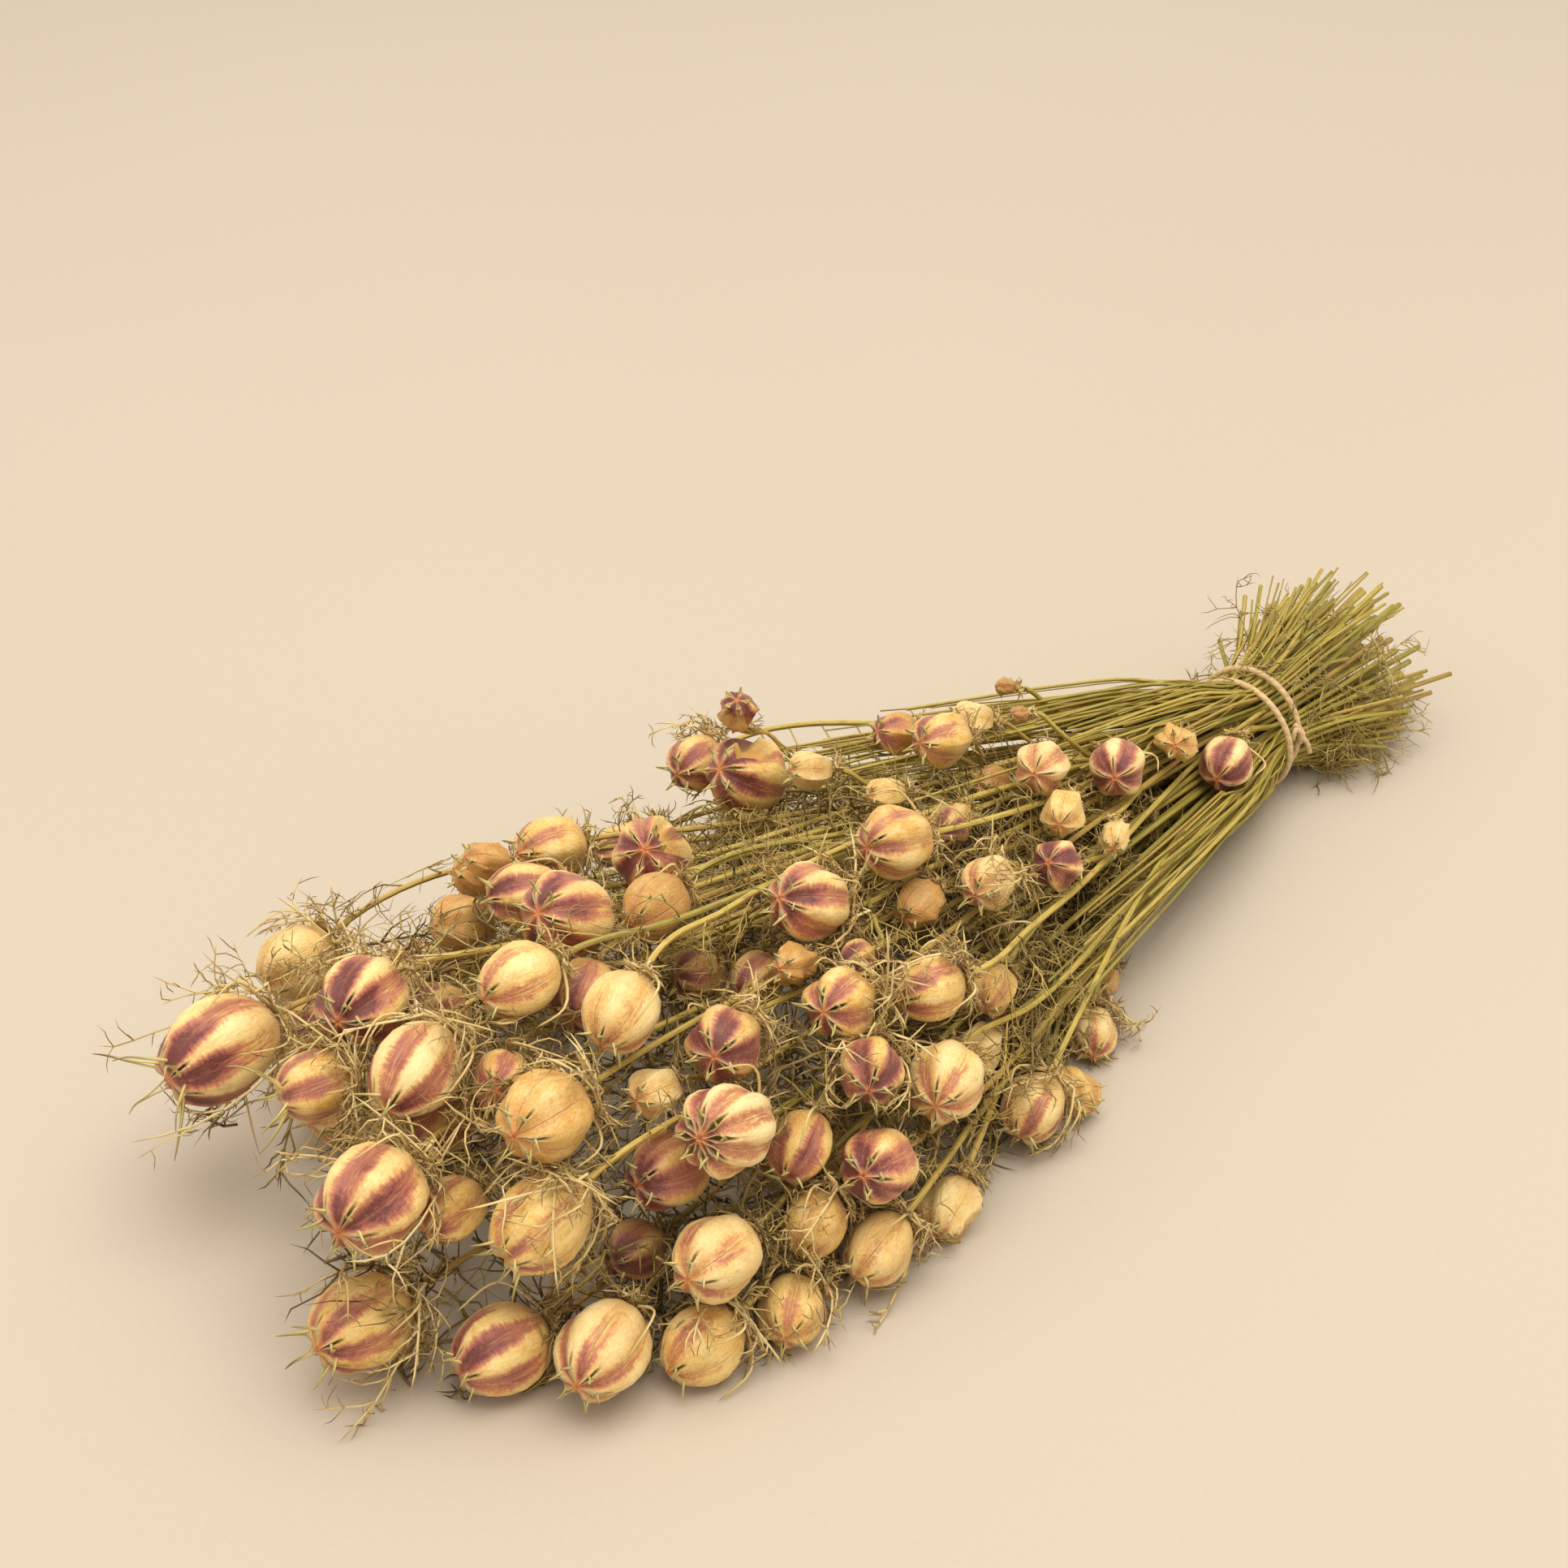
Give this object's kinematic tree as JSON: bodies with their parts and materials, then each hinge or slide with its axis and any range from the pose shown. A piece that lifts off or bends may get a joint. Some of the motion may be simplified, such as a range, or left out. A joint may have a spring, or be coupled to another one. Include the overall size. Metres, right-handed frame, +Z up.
{
  "type": "tied bunch of dried nigella seed pods",
  "caption": "Bunch of dried nigella stems lying on its side, tied near the cut ends, with striped horned seed pods at the other end.",
  "frame": {"origin": "centre of the bunch's footprint, on the surface it lies on", "axes": "+X along the bunch from the pods to the cut ends, +Z up from the surface, +Y completes a right-handed frame"},
  "size_m": [0.5036, 0.2215, 0.0999],
  "materials": {
    "dried_plant": "dry papery skin, matt to satin",
    "tie": "matt tan band"
  },
  "bodies": {
    "root": {"stem_01": "dried_plant", "stem_02": "dried_plant", "stem_03": "dried_plant", "stem_04": "dried_plant", "stem_05": "dried_plant", "stem_06": "dried_plant", "stem_07": "dried_plant", "stem_08": "dried_plant", "stem_09": "dried_plant", "stem_10": "dried_plant", "stem_11": "dried_plant", "stem_12": "dried_plant", "stem_13": "dried_plant", "stem_14": "dried_plant", "stem_15": "dried_plant", "stem_16": "dried_plant", "stem_17": "dried_plant", "stem_18": "dried_plant", "stem_19": "dried_plant", "stem_20": "dried_plant", "stem_21": "dried_plant", "stem_22": "dried_plant", "stem_23": "dried_plant", "stem_24": "dried_plant", "stem_25": "dried_plant", "stem_26": "dried_plant", "stem_27": "dried_plant", "stem_28": "dried_plant", "stem_29": "dried_plant", "stem_30": "dried_plant", "stem_31": "dried_plant", "stem_32": "dried_plant", "stem_33": "dried_plant", "stem_34": "dried_plant", "stem_35": "dried_plant", "stem_36": "dried_plant", "stem_37": "dried_plant", "stem_38": "dried_plant", "stem_39": "dried_plant", "stem_40": "dried_plant", "stem_41": "dried_plant", "stem_42": "dried_plant", "stem_43": "dried_plant", "stem_44": "dried_plant", "stem_45": "dried_plant", "stem_46": "dried_plant", "stem_47": "dried_plant", "stem_48": "dried_plant", "stem_49": "dried_plant", "stem_50": "dried_plant", "stem_51": "dried_plant", "stem_52": "dried_plant", "tie_band": "tie"}
  },
  "joints": []
}
